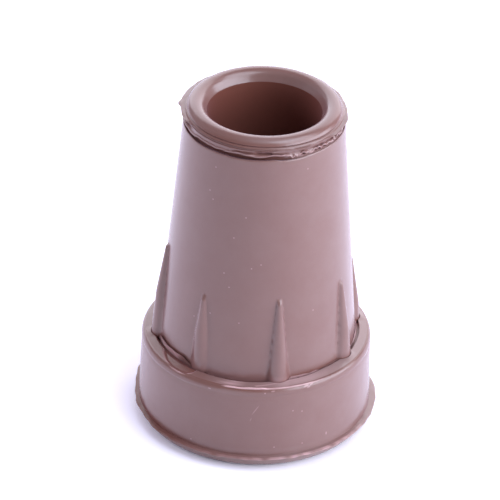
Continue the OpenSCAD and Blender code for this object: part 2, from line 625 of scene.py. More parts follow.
@dataclass
class RubberTip:
    """The whole tip, moulded in one piece. Sizes are in millimetres, angles in degrees."""

    # the overall height and the bore come from the frame
    tip_h: float
    bore_r: float
    bore_depth: float
    rim_d: float = 3.06
    rim_land: float = 0.34
    rim_drop: float = 0.25
    # angles on the rim's own section: its arc, and where the flank of the mouth leaves it
    rim_start: float = 18.5
    rim_end: float = 148.0
    rim_flank: float = 150.0
    flank_soft: float = 0.06
    mouth_soft: tuple[float, float] = (0.02, 0.03)
    collar_h: float = 1.7
    neck_in: float = 0.55
    # the collar between the barrel and the rim: how far out from the neck and up from the barrel's
    # top each point is, and how far it follows its zone's ragged edge
    crease_line: Line = (
        (0.5, 0, 0), (0.39, -0.06, 0.2), (-0.2, -0.28, 1), (-0.2, -0.05, 1), (-0.15, 0.23, 1),
    )
    lip_line: Line = (
        (0, 0.3, 0), (0.252, 0.35, 0.6), (0.38, 0.41, 1), (0.42, 0.53, 1), (0.36, 0.65, 1),
        (0.24, 0.725, 0.6),
    )
    bead_line: Line = (
        (0.1, 0.8, 1.5), (0.14, 0.91, 1.5), (0.17, 1.05, 1), (0.26, 1.21, 0.6), (0.29, 1.35, 0.3),
    )
    bead_top_line: Line = ((0.25, 1.86, 0), (0.15, 1.99, 0), (-0.13, 2.06, 0))
    lip_out: float = 0.42
    bead_out: float = 0.22
    bead_full: float = 0.29
    bead_drop: float = 0.11
    seam_out: float = 0.75
    seam_t: float = 0.2
    barrel_wall: float = 3.88
    barrel_flare: float = 3.3
    barrel_soft: float = 0.05
    brim_soft: float = 2.0
    rib_h: float = 14.9
    rib_mid_r: float = 1.3
    rib_tip_r: float = 0.45
    rib_tip_out: float = 0.5
    rib_over: float = 0.6
    rib_under: float = 0.4
    ribs: tuple[Rib, ...] = (
        Rib(), Rib(2.8, -0.6), Rib(0.5, -2.6), Rib(), Rib(), Rib(), Rib(-4.5, 2.2),
        Rib(-2.9, -1.2, root_out=0.6, mid_out=0.9, spike_h=7.2, melt=0.32),
    )
    foot_h: float = 15.6
    foot_out: float = 2.98
    foot_taper: float = 0.38
    shoulder_r: float = 1.36
    shoulder_swell: float = 0.06
    shoulder_start: float = 3.0
    ledge_turn: float = 43.0
    ledge_gap: float = 6.0
    ledge_tilt: float = 0.17
    ledge_tilt_bearing: float = 46.6
    ledge_round_r: float = 0.1
    ledge_round_start: float = 130.0
    # the trimmed edge, from its middle and as the collar is given
    burr_line: Line = (
        (0.11, -0.15, 0), (0.06, -0.06, 1), (0, 0, 1), (-0.12, 0.036, 1), (-0.2, 0.052, 0),
    )
    moat_w: float = 0.6
    moat_deep: float = 0.55
    flash_gap: float = 0.04
    flash_t: float = 0.12
    base_seam_z: float = 2.25
    base_seam_out: float = 0.95
    base_seam_t: float = 0.25
    sole_ring_w: float = 2.6
    tread_n: int = 3
    tread_w: float = 1.8
    tread_deep: float = 1.6
    tread_pitch: float = 4.4
    sole_round_r: float = 1.5
    sole_round_start: float = -82.0
    tread_edge_r: float = 0.25
    floor_corner_r: float = 0.6
    # how each thin edge strays, in rows of a bearing, a half width, how far out, how far up, and
    # how blunt the stretch is
    lower_seam: RaggedEdge = RaggedEdge(3, 0.035, 0.03, stretches=stretches(
        (-121, 7, 0.5), (-101, 14, -0.28, 0, 2), (-80, 13, -0.28, 0, 2), (86.5, 10, 0.2),
        (75, 12, 0.15),
    ))
    folded_lip: RaggedEdge = RaggedEdge(7, 0.02, 0.02, stretches=stretches(
        (-104, 30, 0.25, 0, 2), (-77, 10, 0.05, -0.25), (-32, 8, 0.05, 0.2),
        (-24, 4, 0.15, 0.1, 2), (-18, 8, 0, -0.12), (-4, 9, 0, 0.25), (9.5, 3.5, 0, -0.3, 2),
        (13.5, 2, -0.1, -0.1), (16.5, 2.5, 0.08, 0.2), (22, 2.5, 0.05, -0.3), (26, 2, -0.1),
        (31, 6, 0.08, 0.2, 2), (42, 6, 0.08, 0.05), (50, 3, 0.1, 0.1), (58, 8, 0.15),
    ))
    # fine nibs that stand on the folded lip where the mould leaked
    nibs: RaggedEdge = RaggedEdge(41, 0.06, 0.13, waves=(43, 59, 73, 89, 107), least=-1.0)
    nibs_at: Stretch = Stretch(34, 44, 1, blunt=2)
    bead_edge: RaggedEdge = RaggedEdge(13, 0.01, 0.01, stretches=stretches(
        (-13, 7, -0.25, 0, 3), (-55, 34, 0.1, 0, 2),
    ))
    upper_seam: RaggedEdge = RaggedEdge(11, 0.02, 0.015, least=0.0, stretches=stretches(
        (-45, 46, -0.75, 0, 3), (-129, 36, 0.46, 0, 2.5), (-109, 6, 0.3), (-95, 9, 0.2),
        (-10, 30, -0.35, 0, 2), (30, 14, -0.25, 0, 2), (66, 14, 0.25), (106, 14, 0.2),
        (126, 14, 0.4),
    ))
    brim: RaggedEdge = RaggedEdge(19, 0.0, 0.015, stretches=stretches(
        (-50, 50, 0, -0.2, 3), (-66, 20, 0, -0.12), (-90, 22, 0, -0.2), (8, 16, 0, -0.2, 2),
    ))
    crease_fill: RaggedEdge = RaggedEdge(37, 0.0, 0.0, least=0.0, stretches=stretches(
        (34, 42, 0.5, 0.25, 2), (-88, 18, 0.3, 0.15, 2),
    ))
    groove_flash: RaggedEdge = RaggedEdge(17, 0.0, 0.06, least=0.0, stretches=stretches(
        (-71, 22, 0.2, 0.9, 2.5), (-35, 9, 0, -0.5), (-17, 14, 0, -0.7, 2), (78, 25, 0, 0.3, 2),
        (140, 20, 0, -0.4),
    ))
    # where crumbs fill the groove
    groove_fill: tuple[Stretch, ...] = stretches((-70, 26, 0, 0.35, 2), (78, 28, 0, 0.3, 2))
    ledge_lip: RaggedEdge = RaggedEdge(23, 0.015, 0.0, stretches=stretches(
        (-66, 25, 0.08), (32.6, 20, -0.3), (-20, 35, 0.25),
    ))
    # the burr that the knife drew out, how uneven it is, and how far out and up it leans
    burr: RaggedEdge = RaggedEdge(29, 0.0, 0.0, least=0.0, stretches=stretches(
        (-18, 13, 0.12, 0, 4), (3, 26, 0.06, 0, 2),
    ))
    burr_swing: float = 0.4
    burr_lean: tuple[float, float] = (0.45, 0.89)
    # where the knife cut the ledge too deep: bearing and radius along the cut's rim
    cut_rim: Knots = (
        (-76.7, 17.19), (-72, 18), (-67, 18.6), (-60.5, 19), (-54.6, 19.02), (-50.5, 18.9),
        (-48, 18.2), (-47, 17.28),
    )
    cut_deep: float = 0.14
    cut_soft: float = 0.35
    # pale specks and scratches: bearing, height, its width and length, lean, and how pale it is
    marks: tuple[PaleMark, ...] = tuple(PaleMark(*row) for row in (
        (-30.4, 41.6), (-23.1, 45.6), (-35.5, 34.8), (-18, 36.4), (-12.1, 37.2), (-31.6, 32.4),
        (22.5, 27.4), (-42.9, 26.7), (-54.3, 24.9), (-24.1, 26.1), (-50.6, 48.9), (-47.5, 47.5),
        (-47.3, 53.4), (19.4, 53.8), (6.4, 10.9), (11.2, 10.5), (25.6, 4.6, 0.3, 0.8),
        (-2.6, 4.1), (-45, 3.4), (11.8, 4.1), (-12.4, 11.5, 2.6, 0.22, -58, 0.16),
        (-14.6, 9.6, 0.9, 0.2, -70, 0.12), (13.5, 15.3, 1.4, 0.5, -18, 0.35),
        (16.5, 15.4, 1.2, 0.4, -22, 0.35), (14.5, 15, 0.8, 0.4, -10, 0.3),
        (-4, 15.1, 0.9, 0.3, -8, 0.3), (-8, 14.8, 0.4, 0.3), (-36, 14.5, 0.7, 0.3, 0, 0.25),
    ))
    # the least gap between the ledge and what it goes round
    slit: float = 0.03
    smooth_below: float = 50.0
    steps_round: int = 432
    steps_wall: int = 8
    steps_shoulder: int = 14
    steps_ledge: int = 11
    steps_ribs: int = 38
    steps_rim: int = 22
    # how strongly the columns of the mesh gather at the ribs
    gather: float = 0.55
    pen: HalfSection = field(init=False, default_factory=HalfSection)

    def __post_init__(self) -> None:
        """Draw the whole half section, from the sole's centre to the bore floor's centre."""
        self.draw_sole()
        self.draw_foot()
        self.draw_ledge()
        self.draw_barrel()
        self.draw_collar()
        self.draw_bore()

    @property
    def rim_r(self) -> float:
        """Radius of the rolled rim's own section."""
        return self.rim_d / 2

    @property
    def rim_z(self) -> float:
        """Height of the middle of the rolled rim."""
        return self.tip_h - self.rim_r

    @property
    def rim_mid_r(self) -> float:
        """Distance of the middle of the rolled rim from the axis."""
        return self.bore_r + self.rim_land + self.rim_r

    @property
    def barrel_top_r(self) -> float:
        """Radius of the barrel at its top."""
        return self.bore_r + self.barrel_wall

    @property
    def barrel_top_z(self) -> float:
        """Height of the barrel's top."""
        return self.rim_z - self.collar_h

    @property
    def barrel_bottom_r(self) -> float:
        """Radius of the barrel where it meets the foot."""
        return self.barrel_top_r + self.barrel_flare

    @property
    def neck_r(self) -> float:
        """Radius of the collar's neck."""
        return self.barrel_top_r - self.neck_in

    @property
    def foot_r(self) -> float:
        """Radius of the foot at the sole."""
        return self.barrel_bottom_r + self.foot_out

    @property
    def moat_r(self) -> float:
        """Outer radius of the groove round the barrel."""
        return self.barrel_bottom_r + self.moat_w

    @property
    def groove_z(self) -> float:
        """Height of the groove's floor."""
        return self.foot_h - self.moat_deep

    @property
    def swollen_r(self) -> float:
        """Radius of the shoulder's own section, a little fuller than its corner."""
        return self.shoulder_r + self.shoulder_swell

    @property
    def shoulder_middle(self) -> tuple[float, float]:
        """Radius and height of the middle of the shoulder's own section."""
        return (self.wall_r(self.foot_h) - self.shoulder_r, self.foot_h - self.shoulder_r)

    @property
    def edge(self) -> tuple[float, float]:
        """Radius and height of the trimmed edge between the shoulder and the ledge.

        Returns:
            The middle of the edge.
        """
        turn = math.radians(self.ledge_turn)
        middle_r, middle_z = self.shoulder_middle
        return (
            middle_r + self.swollen_r * math.cos(turn),
            middle_z + self.swollen_r * math.sin(turn),
        )

    def barrel_r(self, height: float | np.ndarray) -> float | np.ndarray:
        """Radius of the barrel at a height."""
        share = (self.barrel_top_z - height) / (self.barrel_top_z - self.foot_h)
        return self.barrel_top_r + self.barrel_flare * share

    def wall_r(self, height: float | np.ndarray) -> float | np.ndarray:
        """Radius of the foot's wall at a height."""
        return self.foot_r - self.foot_taper * height / self.foot_h

    def placed_marks(self) -> list[tuple[Vector, PaleMark]]:
        """Find the middle of each pale mark, on the plain skin of the foot or the barrel.

        Returns:
            Middle of each mark, in millimetres, and the mark.
        """
        placed = []
        for mark in self.marks:
            plain = self.wall_r if mark.height < self.foot_h else self.barrel_r
            middle = bearing_vector(mark.bearing) * plain(mark.height)
            middle.z = mark.height
            placed.append((middle, mark))
        return placed

    def draw_sole(self) -> None:
        """Draw the sole from its centre outwards, with its ring grooves."""
        pen = self.pen
        soft = self.tread_edge_r
        pen.to(0.0, 0.0)
        for ring in reversed(range(self.tread_n)):
            outer = self.foot_r - self.sole_ring_w - ring * self.tread_pitch
            inner = outer - self.tread_w
            pen.to(inner - soft, 0.0)
            pen.arc((inner - soft, soft), soft, -90.0, 0.0, 3, skip=1)
            pen.to(inner, self.tread_deep)
            pen.to(outer, self.tread_deep)
            pen.arc((outer + soft, soft), soft, 180.0, 270.0, 3)
        soft = self.sole_round_r
        pen.to(self.foot_r - soft, 0.0)
        pen.arc((self.wall_r(soft) - soft, soft), soft, self.sole_round_start, 0.0, 9)

    def draw_foot(self) -> None:
        """Draw the foot's wall with the lower seam, its shoulder and its trimmed edge."""
        pen = self.pen
        middle = self.base_seam_z
        pen.zone = Zone.WALL
        pen.fin(
            Zone.LOWER_SEAM, self.wall_r(middle), middle, self.base_seam_out, self.base_seam_t
        )
        # the swollen shoulder meets the wall a little below its middle
        tuck = math.acos(self.shoulder_r / self.swollen_r)
        start_z = self.shoulder_middle[1] - self.swollen_r * math.sin(tuck)
        pen.to(self.wall_r(start_z), start_z, steps=self.steps_wall)
        pen.zone = Zone.SHOULDER
        pen.arc(
            self.shoulder_middle,
            self.swollen_r,
            self.shoulder_start - math.degrees(tuck),
            self.ledge_turn - self.ledge_gap,
            self.steps_shoulder,
        )
        pen.trace(Zone.BURR, self.edge, self.burr_line)

    def draw_ledge(self) -> None:
        """Draw the ledge, and the groove at the barrel's foot with its flash."""
        pen = self.pen
        pen.zone = Zone.LEDGE
        soft, start = self.ledge_round_r, self.ledge_round_start
        flash_in = self.barrel_bottom_r + self.flash_gap
        pen.to(self.moat_r + soft, self.foot_h, steps=self.steps_ledge)
        pen.arc((self.moat_r + soft, self.foot_h - soft), soft, start, 180.0, 2)
        pen.zone = Zone.GROOVE
        pen.to(self.moat_r, self.groove_z, steps=3)
        pen.to(flash_in + self.flash_t, self.groove_z)
        pen.zone = Zone.GROOVE_FLASH
        pen.to(flash_in + self.flash_t, self.foot_h, steps=4)
        pen.to(flash_in, self.foot_h)
        pen.to(flash_in, self.groove_z, steps=4)
        pen.zone = Zone.BARREL
        pen.to(self.barrel_bottom_r, self.groove_z)

    def draw_barrel(self) -> None:
        """Draw the barrel, finely where the ribs stand."""
        pen = self.pen
        soft = self.barrel_soft
        highest = self.foot_h + self.rib_h + max(rib.rise for rib in self.ribs) + self.rib_over
        pen.to(self.barrel_bottom_r, self.foot_h, steps=3)
        for height, steps in (
            (self.foot_h + soft, 1),
            (highest, self.steps_ribs),
            (self.barrel_top_z - self.brim_soft, 3),
            (self.barrel_top_z - soft, 5),
        ):
            pen.to(self.barrel_r(height), height, steps)

    def draw_collar(self) -> None:
        """Draw the neck with the folded lip, the second bead with its seam, and the rolled rim."""
        pen = self.pen
        root = (self.neck_r, self.barrel_top_z)
        pen.trace(Zone.NECK, root, self.crease_line)
        pen.trace(Zone.FOLDED_LIP, root, self.lip_line)
        pen.trace(Zone.BEAD, root, self.bead_line)
        pen.fin(
            Zone.UPPER_SEAM,
            self.neck_r + self.bead_full,
            self.rim_z - self.bead_drop,
            self.seam_out - self.bead_full,
            self.seam_t,
        )
        pen.trace(Zone.BEAD, root, self.bead_top_line)
        pen.zone = Zone.RIM
        rim = (self.rim_mid_r, self.rim_z)
        pen.arc(rim, self.rim_r, self.rim_start, self.rim_end, self.steps_rim)

    def draw_bore(self) -> None:
        """Draw the flank of the mouth and the bore, from its edge down to its flat floor."""
        pen = self.pen
        edge_z = self.rim_z - self.rim_drop
        floor_z = edge_z - self.bore_depth
        turn = math.radians(self.rim_flank)
        flank_r = self.rim_mid_r + self.rim_r * math.cos(turn)
        flank_z = self.rim_z + self.rim_r * math.sin(turn)
        lean = (flank_r - self.bore_r) / (flank_z - edge_z)
        pen.to(flank_r - self.flank_soft * lean, flank_z - self.flank_soft)
        soft_out, soft_up = self.mouth_soft
        pen.to(self.bore_r + soft_out, edge_z + soft_up, steps=5)
        pen.zone = Zone.BORE
        pen.to(self.bore_r, edge_z - soft_up)
        corner = self.floor_corner_r
        pen.to(self.bore_r, floor_z + corner, steps=4)
        pen.arc((self.bore_r - corner, floor_z + corner), corner, 0.0, -90.0, 4, skip=1)
        pen.to(0.0, floor_z)

    def turn(self) -> bpy.types.Object:
        """Spin the half section round the axis into one closed skin.

        Returns:
            The new object.
        """
        bpy.ops.object.select_all(action="DESELECT")
        bpy.ops.mesh.primitive_plane_add(size=MM)
        tip = bpy.context.active_object
        tip.name = "tip_skin"
        bpy.ops.object.mode_set(mode="EDIT")
        bpy.ops.mesh.select_all(action="SELECT")
        bpy.ops.mesh.merge(type="CENTER")
        points = self.pen.points
        for (last_r, last_z), (radius, height) in zip(points, points[1:]):
            move = ((radius - last_r) * MM, 0.0, (height - last_z) * MM)
            bpy.ops.mesh.extrude_region_move(TRANSFORM_OT_translate={"value": move})
        bpy.ops.mesh.select_all(action="SELECT")
        bpy.ops.mesh.spin(
            steps=self.steps_round, angle=math.tau, center=(0.0, 0.0, 0.0), axis=(0.0, 0.0, 1.0)
        )
        bpy.ops.mesh.select_all(action="SELECT")
        bpy.ops.mesh.remove_doubles(threshold=MERGE_MM * MM)
        bpy.ops.mesh.normals_make_consistent(inside=False)
        bpy.ops.object.mode_set(mode="OBJECT")
        return tip

    def gather_columns(self, bearings: np.ndarray) -> np.ndarray:
        """Move the even columns of the spun mesh closer together at the ribs.

        Args:
            bearings: Even bearings in degrees.

        Returns:
            New bearings, in the same order round the axis.
        """
        count = len(self.ribs)
        pitch = 360.0 / count
        phase = np.radians(bearings * count)
        gathered = bearings - self.gather * np.degrees(np.sin(phase)) / count
        drift = np.zeros_like(bearings)
        for index, rib in enumerate(self.ribs):
            drift += rib.turn * bump(angle_from(bearings, index * pitch), pitch)
        return gathered + drift

    def raise_ribs(
        self, barrel: np.ndarray, bearings: np.ndarray, heights: np.ndarray
    ) -> np.ndarray:
        """Radius of the barrel's skin once the ribs melt into it.

        Args:
            barrel: Plain radius of the barrel.
            bearings: Bearings in degrees.
            heights: Heights in millimetres.

        Returns:
            The new radius.
        """
        raised = barrel.copy()
        root_z = self.groove_z - self.rib_under
        for index, rib in enumerate(self.ribs):
            end_z = self.foot_h + self.rib_h + rib.rise
            knots = (root_z, end_z - rib.spike_h, end_z - self.rib_tip_r)
            radii = (rib.root_r, self.rib_mid_r, self.rib_tip_r)
            centres = (
                self.barrel_bottom_r + rib.root_out - rib.root_r,
                self.barrel_r(knots[1]) + rib.mid_out - self.rib_mid_r,
                self.barrel_r(knots[2]) + self.rib_tip_out - self.rib_tip_r,
            )
            centre = np.interp(heights, knots, centres)
            radius = np.interp(heights, knots, radii)
            over = np.maximum(heights - knots[2], 0.0)
            radius = np.sqrt(np.maximum(radius**2 - over**2, 0.0))
            offset = np.radians(angle_from(bearings, index * 360.0 / len(self.ribs) + rib.turn))
            inside = radius**2 - (centre * np.sin(offset)) ** 2
            # beside the rib the root is of a negative number, and its sign keeps the gap smooth
            gap = centre * np.cos(offset) + np.sign(inside) * np.sqrt(np.abs(inside)) - barrel
            blend = unit(0.5 + 0.5 * gap / rib.melt)
            melted = barrel + blend * gap + rib.melt * blend * (1.0 - blend)
            raised = np.where(heights < end_z, np.maximum(raised, melted), raised)
        return raised

    def rib_foot_r(self, bearings: np.ndarray) -> np.ndarray:
        """Radius of the barrel with its ribs, at the level of the ledge."""
        barrel = np.full_like(bearings, self.barrel_bottom_r)
        return self.raise_ribs(barrel, bearings, np.full_like(bearings, self.foot_h))

    def ledge_lip_r(self, bearings: np.ndarray) -> np.ndarray:
        """Radius of the ledge's inner edge, which strays a little and keeps clear of the ribs.

        Args:
            bearings: Bearings in degrees.

        Returns:
            Distance of the edge from the axis.
        """
        lip = self.ledge_lip.reach(bearings, self.moat_r)
        flash_r = self.barrel_bottom_r + self.flash_gap + self.flash_t
        return np.maximum(lip, np.maximum(flash_r, self.rib_foot_r(bearings)) + self.slit)

    def read_skin(self, mesh: bpy.types.Mesh) -> Skin:
        """Read the points of the turned mesh, and find the zone of each in the drawn section.

        Args:
            mesh: Turned mesh.

        Returns:
            Its points.
        """
        flat = np.empty(len(mesh.vertices) * 3)
        mesh.vertices.foreach_get("co", flat)
        across, forward, heights = (flat.reshape(-1, 3) / MM).T.copy()
        radii = np.hypot(across, forward)
        bearings = self.gather_columns(np.degrees(np.arctan2(across, -forward)))
        drawn_r, drawn_z = np.array(self.pen.points).T
        row = np.empty(len(radii), dtype=int)
        for start in range(0, len(radii), BATCH):
            part = slice(start, start + BATCH)
            gaps = np.hypot(radii[part, None] - drawn_r, heights[part, None] - drawn_z)
            row[part] = gaps.argmin(axis=1)
        zones = np.array([zone.value for zone in self.pen.zones])[row]
        return Skin(bearings, radii, heights, zones, np.array(self.pen.shares)[row])

    def fray_fins(self, skin: Skin) -> None:
        """Make the lower seam, the folded lip and the upper seam ragged.

        Args:
            skin: Turned skin.
        """
        for zone, edge, reach in (
            (Zone.LOWER_SEAM, self.lower_seam, self.base_seam_out),
            (Zone.FOLDED_LIP, self.folded_lip, self.lip_out),
            (Zone.UPPER_SEAM, self.upper_seam, self.seam_out - self.bead_out),
            (Zone.BEAD, self.bead_edge, self.bead_out),
        ):
            here = skin.at(zone)
            out = edge.reach(skin.bearings[here], reach) - reach
            skin.radii[here] += out * skin.shares[here]
            skin.heights[here] += edge.rise(skin.bearings[here]) * skin.shares[here]
        lip = skin.at(Zone.FOLDED_LIP)
        share = skin.shares[lip] * self.nibs_at.weight(skin.bearings[lip])
        skin.radii[lip] += self.nibs.reach(skin.bearings[lip], 0.0) * share
        skin.heights[lip] += self.nibs.rise(skin.bearings[lip]) * share

    def raise_barrel(self, skin: Skin) -> None:
        """Raise the ribs on the barrel, and let its brim and the crease above it stray.

        Args:
            skin: Turned skin.
        """
        here = skin.at(Zone.BARREL)
        bearings, heights = skin.bearings[here], skin.heights[here]
        barrel = np.where(heights > self.foot_h, self.barrel_r(heights), self.barrel_bottom_r)
        raised = self.raise_ribs(barrel, bearings, heights)
        foot = self.rib_foot_r(bearings)
        skin.radii[here] = np.where(heights < self.foot_h, np.minimum(raised, foot), raised)
        near_top = unit((heights - self.barrel_top_z) / self.brim_soft + 1.0)
        skin.heights[here] += self.brim.rise(bearings) * near_top
        here = skin.at(Zone.NECK)
        low = here & (skin.heights < self.barrel_top_z + self.slit)
        skin.heights[low] += self.brim.rise(skin.bearings[low])
        skin.radii[here] += self.crease_fill.reach(skin.bearings[here], 0.0) * skin.shares[here]
        deep = low & (skin.shares == 1.0)
        skin.heights[deep] += self.crease_fill.rise(skin.bearings[deep])

    def shape_groove(self, skin: Skin) -> None:
        """Fit the ledge and the groove round the ribs, and fray the flash that stands in it.

        Args:
            skin: Turned skin.
        """
        lip = self.ledge_lip_r(skin.bearings)
        feet = self.rib_foot_r(skin.bearings)
        groove, flash, ledge = skin.at(Zone.GROOVE), skin.at(Zone.GROOVE_FLASH), skin.at(Zone.LEDGE)
        wall = groove & (skin.radii > self.moat_r - self.slit)
        skin.radii[wall] = lip[wall]
        floor = groove & (skin.heights < self.groove_z + self.slit)
        for stretch in self.groove_fill:
            skin.heights[floor] += stretch.lift(skin.bearings[floor])
        edge_r = self.edge[0]
        inwards = (edge_r - skin.radii[ledge]) / (edge_r - self.moat_r)
        skin.radii[ledge] = edge_r + (lip[ledge] - edge_r) * inwards
        up = (skin.heights[flash] - self.groove_z) / self.moat_deep
        lifted = skin.heights[flash] + self.groove_flash.rise(skin.bearings[flash]) * up
        skin.heights[flash] = np.maximum(lifted, self.groove_z)
        skin.radii[flash] += self.groove_flash.reach(skin.bearings[flash], 0.0) * up
        covered = (flash | groove & ~wall) & (feet > skin.radii - self.slit)
        skin.radii[covered] = feet[covered]
        skin.heights[covered] = self.groove_z

    def tilt_foot(self, skin: Skin) -> None:
        """Tilt the top of the foot a little to one side.

        Args:
            skin: Turned skin.
        """
        away = np.radians(angle_from(skin.bearings, self.ledge_tilt_bearing))
        lift = self.ledge_tilt * (1.0 + np.cos(away))
        middle = self.foot_h / 2
        for zones, start, end in (
            ((Zone.WALL, Zone.SHOULDER, Zone.BURR, Zone.LEDGE), middle, self.edge[1]),
            ((Zone.GROOVE, Zone.GROOVE_FLASH), self.groove_z, self.foot_h),
        ):
            here = skin.at(*zones)
            skin.heights[here] += (lift * unit((skin.heights - start) / (end - start)))[here]

    def cut_share(self, skin: Skin) -> np.ndarray:
        """How far inside the knife's cut each point is.

        Args:
            skin: Turned skin.

        Returns:
            Distance from the cut's rim in millimetres, below 0 outside the cut.
        """
        around = angle_from(skin.bearings, 0.0)
        inside = (around > self.cut_rim[0][0]) & (around < self.cut_rim[-1][0])
        return np.where(inside, follow(self.cut_rim, around) - skin.radii, -1.0)

    def trim(self, skin: Skin) -> None:
        """Draw out the burr along the trimmed edge, and cut the crescent into the ledge.

        Args:
            skin: Turned skin.
        """
        ridge = skin.at(Zone.BURR) & (skin.shares > 0.0)
        bearings = skin.bearings[ridge]
        reach = self.burr.reach(bearings, 0.0)
        reach *= 1.0 + self.burr_swing * ragged(bearings, self.burr.seed, self.burr.waves)
        skin.radii[ridge] += self.burr_lean[0] * reach
        skin.heights[ridge] += self.burr_lean[1] * reach
        top = skin.at(Zone.SHOULDER, Zone.BURR, Zone.LEDGE)
        depth = self.cut_deep * unit(self.cut_share(skin) / self.cut_soft)
        skin.heights[top] -= depth[top]

    def shape(self, tip: bpy.types.Object) -> None:
        """Raise the ribs, fray the thin edges, trim the foot, and mark bloom and wear, with painted
        light and shade among them.

        Args:
            tip: Turned skin.
        """
        mesh = tip.data
        skin = self.read_skin(mesh)
        for work in (
            self.fray_fins, self.raise_barrel, self.shape_groove, self.tilt_foot, self.trim
        ):
            work(skin)
        turns = np.radians(skin.bearings)
        points = np.column_stack(
            (skin.radii * np.sin(turns), -skin.radii * np.cos(turns), skin.heights)
        )
        mesh.vertices.foreach_set("co", (points * MM).ravel())
        for layer, values in PatinaAndPaintedLight(self, skin).paint().items():
            mesh.attributes.new(layer.value, "FLOAT", "POINT").data.foreach_set("value", values)
        mesh.update()

    def build(self, rubber: bpy.types.Material) -> bpy.types.Object:
        """Model the tip, dress it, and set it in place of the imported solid.

        Args:
            rubber: Its material.

        Returns:
            The finished piece.
        """
        tip = self.turn()
        self.shape(tip)
        bpy.ops.object.select_all(action="DESELECT")
        tip.select_set(True)
        bpy.context.view_layer.objects.active = tip
        bpy.ops.object.shade_smooth_by_angle(angle=math.radians(self.smooth_below))
        tip.data.materials.clear()
        tip.data.materials.append(rubber)
        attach(tip, ROOT_BODY)
        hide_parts(TIP_NODE)
        LOG.info("tip_skin: %d faces", len(tip.data.polygons))
        return tip


